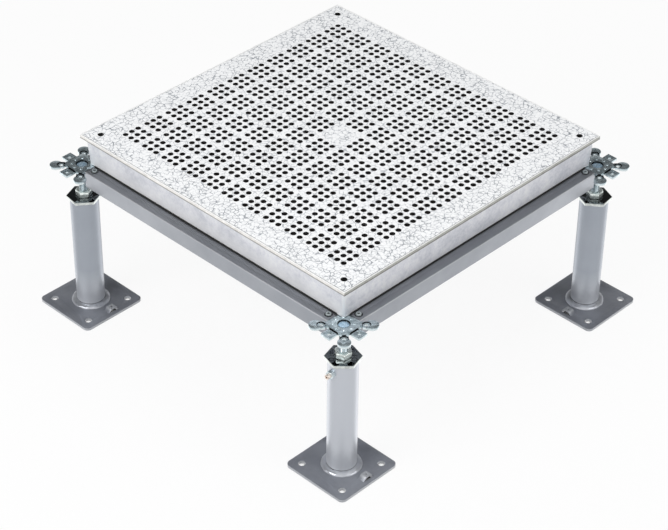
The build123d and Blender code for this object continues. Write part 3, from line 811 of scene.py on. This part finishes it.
def thread_tree():
    """A closed bar with a helical thread: rings half a pitch apart, each one a pitch higher after a turn."""
    names = ("Radius", "Depth", "Pitch", "Foot", "Top", "Across", "Along")
    tree, sizes = new_tree("threaded_bar", names, ("Finish",))
    length = calc(tree, "SUBTRACT", sizes["Top"], sizes["Foot"])
    half_pitch = calc(tree, "MULTIPLY", sizes["Pitch"], 0.5)
    rings_below, spare_rings = 3.0, 5.0
    rings = calc(tree, "CEIL", calc(tree, "ADD", calc(tree, "DIVIDE", length, half_pitch), spare_rings))
    last = calc(tree, "SUBTRACT", rings, 1.0)
    grid = put(tree, "GeometryNodeMeshGrid", {
        "Size X": last, "Size Y": 1.0, "Vertices X": rings, "Vertices Y": THREAD_SIDES + 1})
    place = put(tree, "GeometryNodeInputPosition").outputs[0]
    parts = put(tree, "ShaderNodeSeparateXYZ", {0: place}).outputs
    ring = calc(tree, "ROUND", calc(tree, "ADD", parts["X"], calc(tree, "MULTIPLY", last, 0.5)))
    turn = calc(tree, "ADD", parts["Y"], 0.5)
    climb = calc(tree, "ADD", calc(tree, "SUBTRACT", ring, rings_below), calc(tree, "MULTIPLY", turn, 2.0))
    raw = calc(tree, "ADD", sizes["Foot"], calc(tree, "MULTIPLY", climb, half_pitch))
    height = calc(tree, "MINIMUM", calc(tree, "MAXIMUM", raw, sizes["Foot"]), sizes["Top"])
    ended = calc(tree, "GREATER_THAN", calc(tree, "ABSOLUTE", calc(tree, "SUBTRACT", raw, height)), 0.0)
    valley = calc(tree, "MAXIMUM", ended, calc(tree, "FLOORED_MODULO", ring, 2.0))
    sunk = calc(tree, "SUBTRACT", sizes["Radius"], calc(tree, "MULTIPLY", sizes["Depth"], valley))
    first_ring = calc(tree, "LESS_THAN", ring, 0.5)
    last_ring = calc(tree, "GREATER_THAN", ring, calc(tree, "SUBTRACT", last, 0.5))
    open_rings = calc(tree, "SUBTRACT", 1.0, calc(tree, "MAXIMUM", first_ring, last_ring))
    radius = calc(tree, "MULTIPLY", sunk, open_rings)
    angle = calc(tree, "MULTIPLY", turn, math.tau)
    east = calc(tree, "ADD", sizes["Across"], calc(tree, "MULTIPLY", radius, calc(tree, "COSINE", angle)))
    north = calc(tree, "ADD", sizes["Along"], calc(tree, "MULTIPLY", radius, calc(tree, "SINE", angle)))
    spot = put(tree, "ShaderNodeCombineXYZ", {"X": east, "Y": north, "Z": height}).outputs[0]
    wound = put(tree, "GeometryNodeSetPosition", {"Geometry": grid.outputs["Mesh"], "Position": spot})
    ends = {"Geometry": wound.outputs[0], "Distance": MERGE_GAP}
    closed = put(tree, "GeometryNodeMergeByDistance", ends).outputs[0]
    end_tree(tree, closed, sizes["Finish"])
    return tree


def bead_tree():
    """A lumpy weld bead round the foot of a tube."""
    names = ("Tube Radius", "Width", "Height", "Lump", "Foot", "Across", "Along")
    tree, sizes = new_tree("weld_bead", names, ("Finish",))
    circle = {"Resolution": BEAD_POINTS, "Radius": sizes["Tube Radius"]}
    path = put(tree, "GeometryNodeCurvePrimitiveCircle", circle).outputs["Curve"]
    arc = put(tree, "GeometryNodeCurveArc", {
        "Resolution": BEAD_ARC_POINTS, "Radius": 1.0, "Start Angle": 0.0, "Sweep Angle": math.pi / 2,
        "Connect Center": True})
    down = calc(tree, "MULTIPLY", sizes["Height"], -1.0)
    shape = put(tree, "ShaderNodeCombineXYZ", {"X": sizes["Width"], "Y": down, "Z": 1.0}).outputs[0]
    sized = {"Geometry": arc.outputs["Curve"], "Scale": shape}
    section = put(tree, "GeometryNodeTransform", sized).outputs[0]
    ring = put(tree, "GeometryNodeCurveToMesh", {"Curve": path, "Profile Curve": section}).outputs[0]
    shift = {"X": sizes["Across"], "Y": sizes["Along"], "Z": sizes["Foot"]}
    placed = put(tree, "GeometryNodeSetPosition", {
        "Geometry": ring, "Offset": put(tree, "ShaderNodeCombineXYZ", shift).outputs[0]}).outputs[0]
    place = put(tree, "GeometryNodeInputPosition").outputs[0]
    lumps = put(tree, "ShaderNodeTexNoise", {"Vector": place, "Scale": 130.0, "Detail": 2.0}).outputs["Fac"]
    push = calc(tree, "MULTIPLY", calc(tree, "SUBTRACT", lumps, 0.5), sizes["Lump"])
    normal = put(tree, "GeometryNodeInputNormal").outputs[0]
    offset = put(tree, "ShaderNodeVectorMath", {0: normal, "Scale": push}, operation="SCALE").outputs[0]
    rough = put(tree, "GeometryNodeSetPosition", {"Geometry": placed, "Offset": offset}).outputs[0]
    end_tree(tree, rough, sizes["Finish"])
    return tree


# Copies of CAD pieces with soft edges


def merged_copy(name, cad_node):
    """The CAD piece as one merged mesh with flat faces in one piece each."""
    mesh = nodes[cad_node].data.copy()
    mesh.name = name
    work = bmesh.new()
    work.from_mesh(mesh)
    bmesh.ops.remove_doubles(work, verts=work.verts, dist=DOUBLE_GAP)
    bmesh.ops.dissolve_limit(work, angle_limit=math.radians(FLAT_ANGLE), verts=work.verts, edges=work.edges)
    work.to_mesh(mesh)
    work.free()
    copy = bpy.data.objects.new(name, mesh)
    scene.collection.objects.link(copy)
    return copy


def soften(piece, width, segments=2):
    """Round the piece's sharp edges and smooth what is round."""
    bevel = piece.modifiers.new("soft_edges", "BEVEL")
    bevel.width = width
    bevel.segments = segments
    bevel.limit_method = "ANGLE"
    bevel.angle_limit = math.radians(ROUNDED_ANGLE)
    bevel.miter_outer = "MITER_ARC"
    return smooth(baked(piece))


def smooth(piece, angle=SHARP_ANGLE):
    """Smooth shading, apart from edges sharper than the angle."""
    piece.data.shade_smooth()
    piece.data.set_sharp_from_angle(angle=math.radians(angle))
    return piece


def joined(first, *others):
    """One piece from several that move together, each with its own finishes."""
    work = bmesh.new()
    work.from_mesh(first.data)
    for piece in others:
        shift = len(first.data.materials)
        for face in piece.data.polygons:
            face.material_index += shift
        for finish in piece.data.materials:
            first.data.materials.append(finish)
        work.from_mesh(piece.data)
        bpy.data.objects.remove(piece)
    work.to_mesh(first.data)
    work.free()
    return first


def turned(name, profile, across, along, finish):
    """A closed round piece about an upright axis, from its (radius, height) profile."""
    work = bmesh.new()
    rings = []
    for radius, height in profile:
        count = RIVET_SIDES if radius else 1
        angles = [math.tau * step / RIVET_SIDES for step in range(count)]
        spots = [
            (across + radius * math.cos(angle), along + radius * math.sin(angle), height) for angle in angles]
        rings.append([work.verts.new(spot) for spot in spots])
    for lower, upper in zip(rings, rings[1:]):
        for step in range(RIVET_SIDES):
            after = (step + 1) % RIVET_SIDES
            corners = [lower[step % len(lower)], lower[after % len(lower)],
                       upper[after % len(upper)], upper[step % len(upper)]]
            work.faces.new(list(dict.fromkeys(corners)))
    bmesh.ops.recalc_face_normals(work, faces=work.faces)
    mesh = bpy.data.meshes.new(name)
    work.to_mesh(mesh)
    work.free()
    mesh.materials.append(finish)
    piece = bpy.data.objects.new(name, mesh)
    scene.collection.objects.link(piece)
    return smooth(piece)


def refinish_top(piece, finish):
    """Another finish on the piece's level top."""
    mesh = piece.data
    mesh.materials.append(finish)
    top = max(vertex.co.z for vertex in mesh.vertices)
    for face in mesh.polygons:
        if top - face.center.z < MERGE_GAP:
            face.material_index = len(mesh.materials) - 1


def dress(piece, body, slot, *cad_nodes):
    """Put a piece on its body, and hide the CAD nodes it stands for; the slot is not used."""
    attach(piece, body)
    if cad_nodes:
        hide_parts(*cad_nodes)


# Panel


def panel():
    """Laminate sheet, casting with its round holes, and edge strip."""
    low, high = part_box("panel_covering")
    covering = grown(
        "perforated_covering", covering_tree(),
        side=high.x - low.x - 2 * COVERING_GAP, thickness=high.z - low.z, foot=low.z,
        group_pitch=GROUP_PITCH, hole_pitch=HOLE_PITCH, hole_radius=HOLE_RADIUS,
        corner_span=2 * (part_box("panel_casting")[1].x + TRIM_WIDTH - CORNER_HOLE_INSET),
        corner_radius=CORNER_HOLE_RADIUS, finish=finishes["laminate"], edge_finish=finishes["laminate_core"])
    dress(covering, "floor_bay", "laminate", "panel_covering")
    # The deck's hole walls take the laminate's dark core finish as painted shade
    deck = grown(
        "perforated_deck", deck_tree(),
        side=GROUP_OPENING, thickness=DECK_THICKNESS, foot=low.z - DECK_THICKNESS,
        group_pitch=GROUP_PITCH, hole_pitch=HOLE_PITCH, hole_radius=DECK_HOLE_RADIUS,
        finish=finishes["cast_aluminium"], edge_finish=finishes["laminate_core"])
    dress(deck, "floor_bay", "cast_aluminium")
    strip = soften(merged_copy("edge_strip", "edge_trim"), TRIM_ROUNDING)
    dress(strip, "floor_bay", "trim", "edge_trim")
    tray = soften_outside(merged_copy("cast_tray", "panel_casting"))
    dress(tray, "floor_bay", "cast_aluminium", "panel_casting")


def soften_outside(tray):
    """Round the casting's outer edges below its deck, and leave its openings sharp."""
    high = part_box("panel_casting")[1]
    reach = high.x - WALL_BAND
    mesh = tray.data
    weights = mesh.attributes.new("bevel_weight_edge", "FLOAT", "EDGE")
    for edge in mesh.edges:
        ends = [mesh.vertices[i].co for i in edge.vertices]
        outside = all(max(abs(end.x), abs(end.y)) > reach for end in ends)
        below = all(end.z < high.z - DECK_THICKNESS / 2 for end in ends)
        weights.data[edge.index].value = float(outside and below)
    bevel = tray.modifiers.new("soft_edges", "BEVEL")
    bevel.width = TRAY_ROUNDING
    bevel.segments = 2
    bevel.limit_method = "WEIGHT"
    return smooth(baked(tray))


# Stringers and pedestals


def stringers():
    """Rectangular tubes with soft ends, and their screws."""
    for name in STRINGERS:
        beam = soften(merged_copy(f"{name}_beam", f"{name}_stringer"), STRINGER_ROUNDING)
        dress(beam, "floor_bay", "grey_paint", f"{name}_stringer")
    screws = soften(merged_copy("pan_head_screws", "stringer_screws"), SCREW_ROUNDING, segments=3)
    screws.data.materials[0] = finishes["pan_zinc"]
    dress(screws, "floor_bay", "zinc", "stringer_screws")


def pedestal(corner, threads, bead):
    """Everything that shows on the pedestal of one corner."""
    low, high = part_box(f"{corner}_rod")
    across, along = (low.x + high.x) / 2, (low.y + high.y) / 2
    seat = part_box("front_right_stringer")[1].z - RIVET_SEAT
    head = soften(merged_copy(f"{corner}_stamped_head", f"{corner}_head"), HEAD_ROUNDING)
    head.data.materials[0] = finishes["head_zinc"]
    dress(head, "floor_bay", "zinc", f"{corner}_head")
    stud = grown(
        f"{corner}_threaded_rod", threads, radius=THREAD_RADIUS, depth=THREAD_DEPTH, pitch=THREAD_PITCH,
        foot=low.z, top=seat, across=across, along=along, finish=finishes["zinc"])
    smooth(stud, THREAD_SHARP_ANGLE)
    rivet = turned(f"{corner}_rivet", rivet_profile(seat, high.z), across, along, finishes["rivet_zinc"])
    dress(joined(stud, rivet), "floor_bay", "zinc", f"{corner}_rod")
    nut = soften(merged_copy(f"{corner}_levelling_nut", f"{corner}_level_nut"), NUT_ROUNDING)
    nut.data.materials[0] = finishes["nut_zinc"]
    dress(nut, f"{corner}_nut", "zinc", f"{corner}_level_nut")
    cap = soften(merged_copy(f"{corner}_hexagon_cap", f"{corner}_cap"), CAP_ROUNDING)
    # Painted reflection: the cap's level top takes the darker copy of its zinc
    refinish_top(cap, finishes["dark_mirror"])
    dress(cap, f"{corner}_leg", "bright_zinc", f"{corner}_cap")
    plate = soften(merged_copy(f"{corner}_floor_plate", f"{corner}_base_plate"), PLATE_ROUNDING)
    dress(plate, f"{corner}_leg", "base_paint", f"{corner}_base_plate")
    weld = grown(
        f"{corner}_weld_bead", bead,
        tube_radius=BEAD_RADIUS, width=BEAD_WIDTH, height=BEAD_HEIGHT, lump=BEAD_LUMP,
        foot=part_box(f"{corner}_tube")[0].z, across=across, along=along, finish=finishes["weld"])
    smooth(weld, BEAD_SHARP_ANGLE)
    dress(weld, f"{corner}_leg", "base_paint")


def rivet_profile(seat, crown):
    """Domed end of the rod, riveted over in the head and drilled in its middle."""
    rim = seat + RIVET_RIM
    bulge = crown - rim
    dome = [(RIVET_RADIUS * math.sin(angle), rim + bulge * math.cos(angle))
            for angle in map(math.radians, DOME_ANGLES)]
    drilled = [(RIVET_DRILL, crown), (0.0, crown - RIVET_DRILL / 2)]
    return [(0.0, seat), (RIVET_RADIUS, seat), (RIVET_RADIUS, rim), *dome, *drilled]


panel()
stringers()
shared_trees = (thread_tree(), bead_tree())
for corner in CORNERS:
    pedestal(corner, *shared_trees)
